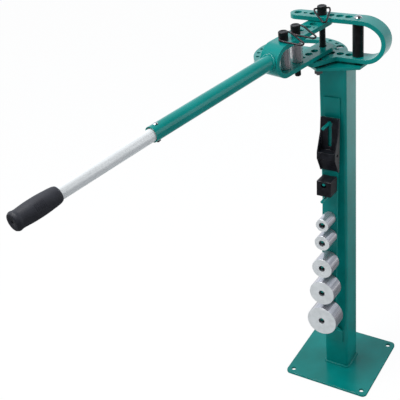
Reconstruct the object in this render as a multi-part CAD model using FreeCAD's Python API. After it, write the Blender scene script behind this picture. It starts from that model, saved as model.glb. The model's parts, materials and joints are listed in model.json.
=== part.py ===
import FreeCAD
import Part

import math
import os

from FreeCAD import Placement, Rotation, Vector

# Floor-standing tube bender: a square post on a base plate, a bent bar frame on top, and a swinging lever.
# Frame: origin on the floor under the middle of the post, +Z up, the bar frame's bend towards +X,
# and the die rack on the -Y side. All sizes are in millimetres.

# Base plate and post
BASE_SIDE = 225.0
BASE_T = 6.0
BASE_CORNER_R = 12.0
FLOOR_HOLE_PITCH = 192.0
FLOOR_HOLE_D = 12.0
POST_SIDE = 63.5
POST_WALL = 3.0
POST_CORNER_R = 6.0
POST_LENGTH = 851.5
FOOT_WELD_LEG = 5.0
HEAD_WELD_LEG = 4.0
PLATE_EDGE_R = 1.0

# Head plate on the post: a triangle with cut corners, turned a little on the post
HEAD_PLATE_T = 6.0
HEAD_PLATE_LONG_SIDE = 48.6
HEAD_PLATE_CUT_SIDE = 64.0
HEAD_PLATE_REAR_CUT = 72.0
HEAD_PLATE_REAR_HALF = 8.0
HEAD_PLATE_TURN = -7.0
HEAD_PLATE_BACK = 3.0

# Bar frame: one flat bar bent into a lying U, with the same holes in both arms
BAR_W = 38.1
BAR_T = 9.5
MOUTH = 75.4
BEND_INSIDE_X = 106.0
BEND_WIDE_R = 54.5
BEND_WIDE_TURN = 45.0
BEND_TIGHT_R = 31.1
PIVOT_X = -34.6
HOLE_PITCH = 20.5
OPEN_HOLES = 3
END_HOLE_X = -91.0
END_ROUND_X = -88.5
SMALL_HOLE_X = -73.0
SMALL_HOLE_D = 9.0
SIDE_LEG_ANGLE = 237.5
SIDE_LEG_W = 30.0
SIDE_LEG_REACH = 77.0
SIDE_LEG_END_R = 12.0

# Angle ring under the bar frame
RING_T = 9.5
RING_SEAT_T = 6.0
RING_SHIFT = 2.0
RING_OUT_R = 105.0
RING_BAND = 19.0
RING_START = -8.0
RING_END = 236.0
RING_HOLE_D = 9.0
RING_HOLE_FIRST = 56.0
RING_HOLE_STEP = 13.95
RING_HOLES = 12

# Pins and what turns on them
PIN_D = 13.6
PIN_PLAY = 1.4
PIN_HEAD_D = 20.5
PIN_HEAD_H = 19.5
PIN_HEAD_EDGE = 1.5
PIVOT_PIN = 92.5
INNER_PIN = 95.0
OUTER_PIN = 72.0
PIN_TIP_CHAMFER = 1.5
SEAT_GAP = 0.3

# Spring wire bails on the pin heads
WIRE_D = 3.8
WIRE_PLAY = 0.3
BAIL_REACH = 52.0
BAIL_TIP_R = 4.5
PIVOT_BAIL_HALF_W = 16.5
PIVOT_BAIL_UP = 13.5
PIVOT_BAIL_DROOP = 16.0
PIVOT_BAIL_HEADING = -60.0
ROLLER_BAIL_HALF_W = 14.4
ROLLER_BAIL_UP = 10.3
ROLLER_BAIL_DROOP = 12.0
ROLLER_BAIL_ROLL = 17.0
ROLLER_BAIL_HEADING = 86.0

# Lever: a bent bar bracket, a socket tube, a handle bar and a grip. The loose pin lets it hang a little.
LEVER_ANGLE = -102.0
LEVER_HANG = 1.5
LEVER_LIFT = 0.8
LEVER_BAR_W = 44.5
LEVER_BAR_T = 9.5
LEVER_MOUTH = 52.1
LEVER_BEND_AT = 176.5
LEVER_WASHER_T = 2.5
ROLLER_PINS_FROM_BEND = (84.5, 43.5)
LEVER_HOLE_AT = (30.5, 51.0)
LEVER_SMALL_AT = 71.5
LEVER_SMALL_D = 10.0
LATCH_HOLE_AT = 49.0
LATCH_HOLE_OFFSET = 15.0
LATCH_HOLE_D = 5.0
SOCKET_OD = 31.75
SOCKET_ID = 27.5
SOCKET_LENGTH = 336.0
SOCKET_UP = 5.2
SOCKET_DROOP = 1.8
HANDLE_OD = 25.4
HANDLE_WALL = 2.6
HANDLE_IN_SOCKET = 120.0
HANDLE_OUT = 312.0
HANDLE_SAG = 0.6
HANDLE_DROOP = 2.5
CROSS_SCREW_FROM_END = 13.5
CROSS_SCREW_D = 6.0
CROSS_HEAD_D = 10.0
CROSS_HEAD_H = 2.4
LEVER_WELD_LEG = 5.0

# The grip's outline: how far along it, and how thick it is there
GRIP_SHAPE = ((0.0, 29.0), (5.0, 32.4), (19.0, 35.2), (39.0, 37.3), (59.0, 37.2), (74.0, 35.4), (84.0, 34.4),
              (90.5, 36.2), (95.5, 31.0))
GRIP_CAP_T = 3.0
GRIP_VENT_D = 5.5

# Spacer column between the arms, and the frame bolts
SPACER_D = 24.0
TOP_SCREW_HEAD_D = 17.5
TOP_SCREW_HEAD_H = 5.5
BOLT_D = 10.0
BOLT_PLAY = 0.5
BOLT_HEAD_AF = 17.0
BOLT_HEAD_H = 6.4
NUT_H = 9.5
NUT_CLEAR = 0.2
BOLT_TAIL = 4.0
WASHER_OD = 18.5
WASHER_T = 1.0
SIDE_HEAD_D = 18.0
SIDE_BOLT_R = 51.0
SIDE_BOLT_ANGLE = 239.0
RING_SCREW_R = 93.3
RING_SCREW_ANGLE = 42.4
RING_SCREW_HEAD_D = 17.0
RING_SCREW_SUNK = 2.5
BOLT_SPACER_OD = 18.0

# Die rack: a strip that leans out towards its foot, with pegs square to it. Heights are shares of the post's.
RACK_W = 38.1
RACK_T = 3.0
RACK_TOP = 0.9196
RACK_TOP_TAB = 48.0
RACK_TOP_STEP = 8.0
RACK_LEAN = 3.4
RACK_FOOT = 0.1971
RACK_RETURN = 0.1418
RACK_BOTTOM = 0.1005
PEG_D = 7.5
PEG_LENGTH = 43.0
BLOCK_PEG_LENGTH = 36.8
SPARE_PEG_LENGTH = 47.0
PEG_TIP_R = 1.0

# Stored dies, from the smallest to the largest, and their heights on the rack as shares of the post's
DIE_LENGTH = 45.0
DIE_EDGE = 0.8
BORE_D = 15.8
DIE_D = (31.75, 38.1, 50.8, 63.5, 76.2)
DIE_PLACE = (0.5679, 0.5113, 0.4284, 0.3447, 0.2478)
ROLLER_D = 25.4
SPARE_PEG_PLACE = 0.6421

# Pressure foot on the top peg
FOOT_PLACE = 0.7904
FOOT_H = 131.0
FOOT_W = 45.0
FOOT_TOP_DEPTH = 5.0
FOOT_KNEE_DEPTH = 7.5
FOOT_KNEE_DOWN = 34.0
FOOT_HUMP_DEPTH = 25.0
FOOT_HUMP_DOWN = 78.0
FOOT_HUMP_H = 16.0
FOOT_TAIL_DEPTH = 5.0
FOOT_RIM = 2.3
FOOT_SOLID_TOP = 22.5
FOOT_BACK_T = 5.0
FOOT_SLOT_W = 9.5
FOOT_SLOT_H = 56.0
FOOT_HOLE_D = 14.0
FOOT_HOLE_DOWN = 14.0
FOOT_CROSS_D = 8.5
FOOT_TAIL_SINK = 4.0

# Square block on the second peg
BLOCK_W = 35.0
BLOCK_H = 38.0
BLOCK_DEPTH = 37.0
BLOCK_PLACE = 0.6759
BLOCK_HOLE_D = 13.0
BLOCK_HOLE_UP = 8.5
BLOCK_GROOVE_D = 1.5
BLOCK_GROOVE_W = 20.0

# Levels and places that follow from the sizes above
RING_CENTRE_X = END_HOLE_X + RING_SHIFT
POST_TOP = BASE_T + POST_LENGTH
RING_Z = POST_TOP + HEAD_PLATE_T
ARM_Z = RING_Z + RING_SEAT_T
ARM_TOP = ARM_Z + BAR_T
UPPER_ARM_Z = ARM_TOP + MOUTH
FRAME_TOP = UPPER_ARM_Z + BAR_T
LEVER_H = LEVER_MOUTH + 2 * LEVER_BAR_T
LEVER_MIDDLE = ARM_TOP + LEVER_WASHER_T + LEVER_LIFT + LEVER_H / 2
ROLLER_PIN_AT = [LEVER_BEND_AT - back for back in ROLLER_PINS_FROM_BEND]
HOLE_D = PIN_D + 2 * PIN_PLAY
SPACER_X = PIVOT_X + (OPEN_HOLES + 1) * HOLE_PITCH
RACK_FACE_Y = -POST_SIDE / 2 - RACK_T
LEAN = math.radians(RACK_LEAN)
Z_AXIS = Vector(0, 0, 1)


def up_post(share):
    """A height given as a share of the post's length."""
    return BASE_T + share * POST_LENGTH


RACK_TOP_Z = up_post(RACK_TOP)
RACK_START_Z = RACK_TOP_Z - RACK_TOP_TAB - RACK_TOP_STEP
RACK_FOOT_Z = up_post(RACK_FOOT)
FOOT_Z = up_post(FOOT_PLACE)
BLOCK_Z = up_post(BLOCK_PLACE)
DIE_Z = [up_post(place) for place in DIE_PLACE]


def write(name, shape):
    """Write one node, and say how many solids it holds."""
    shape.exportStep("parts/" + name + ".step")
    box = shape.BoundBox
    print(f"{name:18s} solids {len(shape.Solids)}  z {box.ZMin:7.1f} to {box.ZMax:7.1f}"
          f"  volume {shape.Volume / 1000:8.1f} cm3  valid {shape.isValid()}")


def polar(radius, degrees, z=0.0):
    """A point at a radius and an angle about the Z axis."""
    a = math.radians(degrees)
    return Vector(radius * math.cos(a), radius * math.sin(a), z)


def polar_xz(radius, degrees):
    """A point of the XZ plane at a radius and an angle from +X towards +Z."""
    a = math.radians(degrees)
    return Vector(radius * math.cos(a), 0, radius * math.sin(a))


def rod(diameter, length, base, direction=Z_AXIS):
    """A round rod from its base along a direction."""
    return Part.makeCylinder(diameter / 2, length, base, direction)


def pipe(outer, inner, length, base, direction=Z_AXIS):
    return rod(outer, length, base, direction).cut(rod(inner, length, base, direction))


def prism(points, thickness, z):
    """A plate of a straight-sided outline, from the height z upwards."""
    corners = [Vector(p[0], p[1], z) for p in points]
    wire = Part.makePolygon(corners + corners[:1])
    return Part.Face(wire).extrude(Vector(0, 0, thickness))


def round_upright_edges(solid, radius):
    upright = [e for e in solid.Edges
               if abs(e.Vertexes[0].Z - e.Vertexes[-1].Z) > 1e-6 and isinstance(e.Curve, Part.Line)]
    return solid.makeFillet(radius, upright)


def rounded_box(side_x, side_y, height, radius, z):
    solid = Part.makeBox(side_x, side_y, height, Vector(-side_x / 2, -side_y / 2, z))
    return round_upright_edges(solid, radius)


def base_plate():
    plate = rounded_box(BASE_SIDE, BASE_SIDE, BASE_T, BASE_CORNER_R, 0)
    top = [e for e in plate.Edges if all(abs(v.Z - BASE_T) < 1e-6 for v in e.Vertexes)]
    plate = plate.makeFillet(PLATE_EDGE_R, top)
    half = FLOOR_HOLE_PITCH / 2
    for x in (-half, half):
        for y in (-half, half):
            plate = plate.cut(rod(FLOOR_HOLE_D, BASE_T, Vector(x, y, 0)))
    return plate


def post_tube():
    inner_side = POST_SIDE - 2 * POST_WALL
    outer = rounded_box(POST_SIDE, POST_SIDE, POST_LENGTH, POST_CORNER_R, BASE_T)
    inner = rounded_box(inner_side, inner_side, POST_LENGTH, POST_CORNER_R - POST_WALL, BASE_T)
    return outer.cut(inner)


def square_weld(leg, z, up):
    """A fillet weld around the post, against the plate below it (up = 1) or above it (up = -1)."""
    wide = rounded_box(POST_SIDE + 2 * leg, POST_SIDE + 2 * leg, 1, POST_CORNER_R + leg, 0)
    near = rounded_box(POST_SIDE + 0.2, POST_SIDE + 0.2, 1, POST_CORNER_R, 0)
    wires = []
    for solid, height in ((wide, z), (near, z + up * leg)):
        face = [f for f in solid.Faces if abs(f.CenterOfMass.z) < 1e-6][0]
        wire = face.OuterWire.copy()
        wire.translate(Vector(0, 0, height))
        wires.append(wire)
    bead = Part.makeLoft(wires, True, True)
    core = rounded_box(POST_SIDE, POST_SIDE, 4 * leg, POST_CORNER_R, z - 2 * leg)
    return bead.cut(core)


def bolt_places():
    """The three frame bolts: under the spacer column, in the side leg and in the ring."""
    in_ring = Vector(RING_CENTRE_X, 0, 0) + polar(RING_SCREW_R, RING_SCREW_ANGLE)
    return Vector(SPACER_X, 0, 0), polar(SIDE_BOLT_R, SIDE_BOLT_ANGLE), in_ring


def head_plate():
    """A triangle with its corners cut off; the rear one is narrow and reaches under the ring's screw."""
    half_cut = (2 * HEAD_PLATE_LONG_SIDE - HEAD_PLATE_CUT_SIDE) * math.tan(math.radians(30))
    corners = []
    rear = (120, HEAD_PLATE_REAR_CUT, HEAD_PLATE_REAR_HALF)
    for turn, out, half in ((0, HEAD_PLATE_CUT_SIDE, half_cut), rear, (240, HEAD_PLATE_CUT_SIDE, half_cut)):
        for side in (-half, half):
            corner = Vector(out, side, 0)
            corner = Rotation(Z_AXIS, HEAD_PLATE_TURN + turn).multVec(corner)
            corners.append((corner.x, corner.y + HEAD_PLATE_BACK))
    plate = round_upright_edges(prism(corners, HEAD_PLATE_T, POST_TOP), 2 * PLATE_EDGE_R)
    for place in bolt_places():
        plate = plate.cut(rod(BOLT_D + 2 * BOLT_PLAY, HEAD_PLATE_T, place + Vector(0, 0, POST_TOP)))
    return plate


def angle_ring():
    """A part circle of thick plate, thinned from below where it lies on the head plate."""
    centre = Vector(RING_CENTRE_X, 0, ARM_Z - RING_T)
    inner_r = RING_OUT_R - RING_BAND
    ring = Part.makeCylinder(RING_OUT_R, RING_T, centre, Z_AXIS, RING_END - RING_START)
    ring = ring.cut(Part.makeCylinder(inner_r, RING_T, centre, Z_AXIS))
    ring.rotate(centre, Z_AXIS, RING_START)
    mid = inner_r + RING_BAND / 2
    free_end = centre + polar(mid, RING_END)
    ring = ring.fuse(rod(RING_BAND, RING_T, free_end)).removeSplitter()
    for i in range(RING_HOLES):
        place = centre + polar(mid, RING_HOLE_FIRST + i * RING_HOLE_STEP)
        ring = ring.cut(rod(RING_HOLE_D, RING_T, place))
    ring = ring.cut(head_plate())
    screw = bolt_places()[2]
    sunk_top = ARM_Z - RING_SCREW_SUNK
    ring = ring.cut(sunk_head(screw, sunk_top, RING_SCREW_HEAD_D, BOLT_PLAY))
    mouth = rod(RING_SCREW_HEAD_D + 2 * BOLT_PLAY, RING_SCREW_SUNK, Vector(screw.x, screw.y, sunk_top))
    return through(ring.cut(mouth), BOLT_D + 2 * BOLT_PLAY, screw.x, screw.y, centre.z, ARM_Z)


def bent_bar(width, thickness, moves):
    """A flat bar that lies along +X from the origin, its round end there, and is bent back over itself.

    Each move is a straight run, the inside radius of the bend after it and that bend's turn in degrees.
    The inside face starts at z = 0, and a last straight run ends above the origin.
    """
    inside = []
    outside = []
    point = Vector(0, 0, 0)
    heading = 0.0
    for run, radius, turn in moves:
        left = polar_xz(1, heading + 90)
        ahead = point + polar_xz(run, heading)
        if run > 0:
            inside.append(Part.LineSegment(point, ahead).toShape())
            outside.append(Part.LineSegment(point - left * thickness, ahead - left * thickness).toShape())
        centre = ahead + left * radius
        rim = [centre + polar_xz(1, heading - 90 + part * turn) * radius for part in (0, 0.5, 1)]
        inside.append(Part.Arc(*rim).toShape())
        wide = [centre + polar_xz(1, heading - 90 + part * turn) * (radius + thickness) for part in (0, 0.5, 1)]
        outside.append(Part.Arc(*wide).toShape())
        point = rim[2]
        heading += turn
    top = Vector(0, 0, point.z)
    lift = Vector(0, 0, thickness)
    inside.append(Part.LineSegment(point, top).toShape())
    outside.append(Part.LineSegment(point + lift, top + lift).toShape())
    ends = [Part.LineSegment(Vector(0, 0, 0), -lift).toShape(), Part.LineSegment(top, top + lift).toShape()]
    outline = Part.Wire(Part.__sortEdges__(inside + outside + ends))
    bar = Part.Face(outline).extrude(Vector(0, width, 0))
    bar.translate(Vector(0, -width / 2, 0))
    for level in (-lift, top):
        bar = bar.fuse(rod(width, thickness, level))
    return bar.removeSplitter()


def through(solid, diameter, x, y, z0, z1):
    """Drill a solid at a place, from one height to another."""
    return solid.cut(rod(diameter, z1 - z0, Vector(x, y, z0)))


def main_frame():
    """The bar's bend is tight and round below, and above it starts with a wider curve."""
    turn = math.radians(BEND_WIDE_TURN)
    upper_h = BEND_TIGHT_R * math.cos(math.radians(90) - turn) + BEND_WIDE_R * (1 - math.cos(turn))
    lower_r = MOUTH - upper_h
    run = BEND_INSIDE_X - lower_r - END_ROUND_X
    moves = ((run, lower_r, 90), (0, BEND_TIGHT_R, 90 - BEND_WIDE_TURN), (0, BEND_WIDE_R, BEND_WIDE_TURN))
    frame = bent_bar(BAR_W, BAR_T, moves)
    frame.translate(Vector(END_ROUND_X, 0, ARM_TOP))
    for i in range(-1, OPEN_HOLES + 1):
        frame = through(frame, HOLE_D, PIVOT_X + i * HOLE_PITCH, 0, ARM_Z, FRAME_TOP)
    frame = through(frame, HOLE_D, END_HOLE_X, 0, ARM_Z, FRAME_TOP)
    frame = through(frame, SMALL_HOLE_D, SMALL_HOLE_X, 0, ARM_Z, FRAME_TOP)
    return through(frame, BOLT_D + 2 * BOLT_PLAY, SPACER_X, 0, ARM_Z, FRAME_TOP)


def side_leg():
    """The short arm beside the lower bar, with its own bolt. It is cut to the bar's edge and welded there."""
    leg = Part.makeBox(SIDE_LEG_REACH, SIDE_LEG_W, BAR_T, Vector(0, -SIDE_LEG_W / 2, ARM_Z))
    leg.rotate(Vector(0, 0, 0), Z_AXIS, SIDE_LEG_ANGLE)
    far = [e for e in leg.Edges if isinstance(e.Curve, Part.Line)
           and abs(e.Vertexes[0].Z - e.Vertexes[-1].Z) > 1e-6
           and e.CenterOfMass.distanceToPoint(Vector(0, 0, ARM_Z + BAR_T / 2)) > SIDE_LEG_REACH - 1]
    leg = leg.makeFillet(SIDE_LEG_END_R, far)
    beside = Part.makeBox(4 * BAR_W, 4 * BAR_W, BAR_T, Vector(-2 * BAR_W, -4.5 * BAR_W, ARM_Z))
    leg = leg.common(beside)
    bolt = bolt_places()[1]
    leg = leg.cut(sunk_head(bolt, ARM_TOP, SIDE_HEAD_D, NUT_CLEAR))
    return through(leg, BOLT_D + 2 * BOLT_PLAY, bolt.x, bolt.y, ARM_Z, ARM_TOP)


def hexagon(across_flats, height, base):
    radius = across_flats / math.sqrt(3)
    corners = [polar(radius, 60 * i) for i in range(6)]
    solid = prism([(c.x, c.y) for c in corners], height, 0)
    solid.translate(base)
    return solid


def side_screw():
    """A countersunk screw down through the side leg: its head is flush, because the lever sweeps over it."""
    side = bolt_places()[1]
    length = BAR_T + RING_SEAT_T + HEAD_PLATE_T + NUT_H + BOLT_TAIL
    screw = rod(BOLT_D, length, Vector(side.x, side.y, ARM_TOP - length))
    return screw.fuse(sunk_head(side, ARM_TOP, SIDE_HEAD_D, 0.0)).removeSplitter()


def sunk_head(place, top, head_d, play):
    """A countersunk head with its flat top at a level, or the countersink for it where there is play."""
    deep = (head_d - BOLT_D) / 2
    base = Vector(place.x, place.y, top - deep)
    return Part.makeCone(BOLT_D / 2 + play, head_d / 2 + play, deep, base)


def dome(diameter, height, base):
    """A button head: the cap of a ball on a base point."""
    ball_r = (diameter ** 2 / 4 + height ** 2) / (2 * height)
    ball = Part.makeSphere(ball_r, base + Vector(0, 0, height - ball_r))
    return ball.common(rod(diameter, height, base))


def ring_screw():
    """A countersunk screw, sunk in the ring and down through the head plate."""
    ring = bolt_places()[2]
    top = ARM_Z - RING_SCREW_SUNK
    length = top - POST_TOP + WASHER_T + NUT_H + BOLT_TAIL
    screw = rod(BOLT_D, length, Vector(ring.x, ring.y, top - length))
    return screw.fuse(sunk_head(ring, top, RING_SCREW_HEAD_D, 0.0)).removeSplitter()


def ring_washer():
    ring = bolt_places()[2]
    return pipe(WASHER_OD, BOLT_D + 2 * BOLT_PLAY, WASHER_T, Vector(ring.x, ring.y, POST_TOP - WASHER_T))


def frame_nuts():
    _, side, ring = bolt_places()
    nuts = []
    for place, under in ((side, 0.0), (ring, WASHER_T)):
        seat = Vector(place.x, place.y, POST_TOP - under - NUT_H)
        nuts.append(hexagon(BOLT_HEAD_AF, NUT_H, seat).cut(rod(BOLT_D + 2 * NUT_CLEAR, NUT_H, seat)))
    return nuts


def bolt_spacers():
    """Rings as thick as the angle ring's seat, which hold the bar frame level where it doesn't reach."""
    under_spacer, side, _ = bolt_places()
    hole = BOLT_D + 2 * BOLT_PLAY
    return [pipe(BOLT_SPACER_OD, hole, RING_SEAT_T, Vector(p.x, p.y, RING_Z)) for p in (under_spacer, side)]


def spacer_column():
    """The round column that holds the two arms apart, tapped at both ends."""
    body = rod(SPACER_D, MOUTH, Vector(SPACER_X, 0, ARM_TOP))
    tapped = rod(BOLT_D + 2 * NUT_CLEAR, MOUTH, Vector(SPACER_X, 0, ARM_TOP))
    return body.cut(tapped)


def spacer_screws():
    """A button-head screw from above and one from below, into the spacer column."""
    grip = MOUTH / 2 - 2 * BOLT_TAIL
    top_shank = rod(BOLT_D, grip + BAR_T, Vector(SPACER_X, 0, UPPER_ARM_Z - grip))
    cap = dome(TOP_SCREW_HEAD_D, TOP_SCREW_HEAD_H, Vector(SPACER_X, 0, FRAME_TOP))
    low_seat = POST_TOP
    low_length = ARM_TOP + grip - low_seat
    low_shank = rod(BOLT_D, low_length, Vector(SPACER_X, 0, low_seat))
    low_head = hexagon(BOLT_HEAD_AF, BOLT_HEAD_H, Vector(SPACER_X, 0, low_seat - BOLT_HEAD_H))
    return [top_shank.fuse(cap).removeSplitter(), low_shank.fuse(low_head).removeSplitter()]


def rack_offset(z):
    """How far the rack's outer face stands out from its flat top tab, at a height on the leaning part."""
    return RACK_TOP_STEP + (RACK_START_Z - z) * math.tan(LEAN)


def rack_strip():
    line = [(0.0, RACK_TOP_Z), (0.0, RACK_TOP_Z - RACK_TOP_TAB), (RACK_TOP_STEP, RACK_START_Z),
            (rack_offset(RACK_FOOT_Z), RACK_FOOT_Z), (0.0, up_post(RACK_RETURN)), (0.0, up_post(RACK_BOTTOM))]
    inner = []
    for i, point in enumerate(line):
        before = line[max(i - 1, 0)]
        after = line[min(i + 1, len(line) - 1)]
        normals = []
        for a, b in ((before, point), (point, after)):
            length = math.hypot(b[0] - a[0], b[1] - a[1])
            if length > 0:
                normals.append(((b[1] - a[1]) / length, -(b[0] - a[0]) / length))
        nx = sum(n[0] for n in normals) / len(normals)
        nz = sum(n[1] for n in normals) / len(normals)
        scale = RACK_T / (nx * nx + nz * nz)
        inner.append((point[0] + nx * scale, point[1] + nz * scale))
    corners = [Vector(-RACK_W / 2, RACK_FACE_Y - p[0], p[1]) for p in line + inner[::-1]]
    face = Part.Face(Part.makePolygon(corners + corners[:1]))
    return face.extrude(Vector(RACK_W, 0, 0))


def on_rack(z, out=0.0, x=0.0):
    """A point at a distance out from the leaning face, straight above the floor height z."""
    face = Vector(x, RACK_FACE_Y - rack_offset(z), z)
    return face + RACK_OUT * out


RACK_OUT = Vector(0, -math.cos(LEAN), math.sin(LEAN))
RACK_TURN = Rotation(Vector(1, 0, 0), -RACK_LEAN)


def hang_height(z, bore_d):
    """The peg's height for a piece whose bore, centred at z, hangs on the peg."""
    return z + ((bore_d - PEG_D) / 2 - SEAT_GAP) * math.cos(LEAN)


def pegs():
    """The height and the length of each peg: for the foot, the block, nothing, and the dies."""
    foot = hang_height(FOOT_Z + FOOT_H / 2 - FOOT_HOLE_DOWN, FOOT_HOLE_D)
    block = hang_height(BLOCK_Z + BLOCK_HOLE_UP, BLOCK_HOLE_D)
    dies = [(hang_height(z, BORE_D), PEG_LENGTH) for z in DIE_Z]
    spare = (up_post(SPARE_PEG_PLACE), SPARE_PEG_LENGTH)
    return [(foot, PEG_LENGTH), (block, BLOCK_PEG_LENGTH), spare] + dies


def rack_pegs():
    pieces = []
    for z, length in pegs():
        peg = rod(PEG_D, length, on_rack(z), RACK_OUT)
        tip = [e for e in peg.Edges if e.CenterOfMass.distanceToPoint(on_rack(z, length)) < 1e-3]
        pieces.append(peg.makeFillet(PEG_TIP_R, tip))
    return pieces


def hang(shape, z):
    """Put a shape, modelled with its back at y = 0 and its middle at the origin, on the rack."""
    place = on_rack(z, SEAT_GAP)
    shape.Placement = Placement(place, RACK_TURN)
    return shape


def die(diameter, length, bore):
    """A plain round die along -Y with its back at y = 0."""
    back = Vector(0, 0, 0)
    body = rod(diameter, length, back, Vector(0, -1, 0))
    rims = [e for e in body.Edges if isinstance(e.Curve, Part.Circle)]
    body = body.makeChamfer(DIE_EDGE, rims)
    return body.cut(rod(bore, length, back, Vector(0, -1, 0)))


def pressure_foot():
    """The hung shoe: a tray that gets deeper towards a cross bar, and a sloped tail below it."""
    top = FOOT_H / 2
    hump_z = top - FOOT_HUMP_DOWN
    side = [(0, -top), (-FOOT_TAIL_DEPTH, -top), (-FOOT_HUMP_DEPTH, hump_z - FOOT_HUMP_H),
            (-FOOT_HUMP_DEPTH, hump_z), (-FOOT_KNEE_DEPTH, top - FOOT_KNEE_DOWN), (-FOOT_TOP_DEPTH, top), (0, top)]
    corners = [Vector(-FOOT_W / 2, y, z) for y, z in side]
    body = Part.Face(Part.makePolygon(corners + corners[:1])).extrude(Vector(FOOT_W, 0, 0))
    hump = [e for e in body.Edges if abs(e.CenterOfMass.y + FOOT_HUMP_DEPTH) < 1e-6
            and abs(e.CenterOfMass.x) < 1e-6 and e.Length > FOOT_W - 1]
    body = body.makeFillet(FOOT_HUMP_H / 2 - 1, hump)
    inside_w = FOOT_W - 2 * FOOT_RIM
    tray_h = FOOT_HUMP_DOWN - FOOT_SOLID_TOP
    tray = Part.makeBox(inside_w, FOOT_HUMP_DEPTH, tray_h,
                        Vector(-inside_w / 2, -FOOT_BACK_T - FOOT_HUMP_DEPTH, hump_z))
    body = body.cut(tray)
    tail = [(-FOOT_TAIL_DEPTH + FOOT_TAIL_SINK, -top), (-FOOT_HUMP_DEPTH + FOOT_TAIL_SINK, hump_z - FOOT_HUMP_H),
            (-FOOT_HUMP_DEPTH - FOOT_TAIL_SINK, hump_z - FOOT_HUMP_H), (-FOOT_HUMP_DEPTH - FOOT_TAIL_SINK, -top)]
    sink = [Vector(-inside_w / 2, y, z) for y, z in tail]
    body = body.cut(Part.Face(Part.makePolygon(sink + sink[:1])).extrude(Vector(inside_w, 0, 0)))
    hole_z = top - FOOT_HOLE_DOWN
    body = body.cut(rod(FOOT_HOLE_D, FOOT_HUMP_DEPTH, Vector(0, 0, hole_z), Vector(0, -1, 0)))
    slot = Part.makeBox(FOOT_SLOT_W, FOOT_HUMP_DEPTH, FOOT_SLOT_H,
                        Vector(-FOOT_SLOT_W / 2, -FOOT_HUMP_DEPTH, hole_z - FOOT_SLOT_H))
    body = body.cut(slot)
    cross = Vector(-FOOT_W / 2, -FOOT_HUMP_DEPTH / 2, hump_z - FOOT_HUMP_H / 2)
    return body.cut(rod(FOOT_CROSS_D, FOOT_W, cross, Vector(1, 0, 0)))


def square_block():
    """The hung block, with a shallow vee along its top."""
    body = Part.makeBox(BLOCK_W, BLOCK_DEPTH, BLOCK_H, Vector(-BLOCK_W / 2, -BLOCK_DEPTH, -BLOCK_H / 2))
    body = body.makeChamfer(PLATE_EDGE_R, body.Edges)
    top = BLOCK_H / 2
    vee = [(-BLOCK_GROOVE_W / 2, top), (0, top - BLOCK_GROOVE_D), (BLOCK_GROOVE_W / 2, top)]
    corners = [Vector(x, -BLOCK_DEPTH, z) for x, z in vee]
    body = body.cut(Part.Face(Part.makePolygon(corners + corners[:1])).extrude(Vector(0, BLOCK_DEPTH, 0)))
    return body.cut(rod(BLOCK_HOLE_D, BLOCK_DEPTH, Vector(0, 0, BLOCK_HOLE_UP), Vector(0, -1, 0)))


LEVER_TURN = Rotation(Z_AXIS, LEVER_ANGLE) * Rotation(Vector(0, 1, 0), LEVER_HANG)
LEVER_POSE = Placement(Vector(PIVOT_X, 0, LEVER_MIDDLE), LEVER_TURN)


def set_on_lever(shape):
    """Place a shape that was modelled along +X from the pivot, with z = 0 at the bracket's middle."""
    shape.Placement = LEVER_POSE.multiply(shape.Placement)
    return shape


def bend_drum():
    """The round outside of the bracket's bend, as a full drum, which trims the pieces that meet it."""
    centre = Vector(LEVER_BEND_AT - LEVER_MOUTH / 2, -LEVER_BAR_W, 0)
    return rod(LEVER_H, 2 * LEVER_BAR_W, centre, Vector(0, 1, 0))


def lever_bracket():
    inner_r = LEVER_MOUTH / 2
    bracket = bent_bar(LEVER_BAR_W, LEVER_BAR_T, ((LEVER_BEND_AT - inner_r, inner_r, 180),))
    bracket.translate(Vector(0, 0, -LEVER_MOUTH / 2))
    top = LEVER_H / 2
    for at in [0.0, *LEVER_HOLE_AT, *ROLLER_PIN_AT]:
        bracket = through(bracket, HOLE_D, at, 0, -top, top)
    bracket = through(bracket, LEVER_SMALL_D, LEVER_SMALL_AT, 0, -top, top)
    bracket = through(bracket, LATCH_HOLE_D, LATCH_HOLE_AT, LATCH_HOLE_OFFSET, 0, top)
    return set_on_lever(bracket)


def fall(degrees):
    """The direction along the lever that points down by an angle."""
    return Vector(math.cos(math.radians(degrees)), 0, -math.sin(math.radians(degrees)))


SOCKET_WAY = fall(SOCKET_DROOP)
HANDLE_WAY = fall(HANDLE_DROOP)
SOCKET_BASE = Vector(LEVER_BEND_AT + LEVER_BAR_T, 0, SOCKET_UP)
SCREW_POINT = SOCKET_BASE + SOCKET_WAY * (SOCKET_LENGTH - CROSS_SCREW_FROM_END)
HANDLE_BASE = SCREW_POINT - Vector(0, 0, HANDLE_SAG) - HANDLE_WAY * (HANDLE_IN_SOCKET - CROSS_SCREW_FROM_END)
HANDLE_LENGTH = HANDLE_IN_SOCKET + HANDLE_OUT


def cross_hole():
    reach = Vector(0, 0, SOCKET_OD)
    return rod(CROSS_SCREW_D + 2 * NUT_CLEAR, 2 * SOCKET_OD, SCREW_POINT - reach)


def socket_tube():
    """The tube welded to the bracket's bend, with its end cut to the bend's round."""
    back = LEVER_H / 2
    tube = pipe(SOCKET_OD, SOCKET_ID, SOCKET_LENGTH + back, SOCKET_BASE - SOCKET_WAY * back, SOCKET_WAY)
    return set_on_lever(tube.cut(bend_drum()).cut(cross_hole()))


def lever_weld():
    """The weld bead where the socket tube meets the bend."""
    back = SOCKET_WAY * LEVER_WELD_LEG
    wide = SOCKET_OD + 2.4 * LEVER_WELD_LEG
    bead = Part.makeCone(wide / 2, SOCKET_OD / 2 + 0.1, 2 * LEVER_WELD_LEG, SOCKET_BASE - back, SOCKET_WAY)
    bead = bead.cut(rod(SOCKET_OD, 4 * LEVER_WELD_LEG, SOCKET_BASE - 2 * back, SOCKET_WAY))
    return set_on_lever(bead.cut(bend_drum()))


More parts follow.
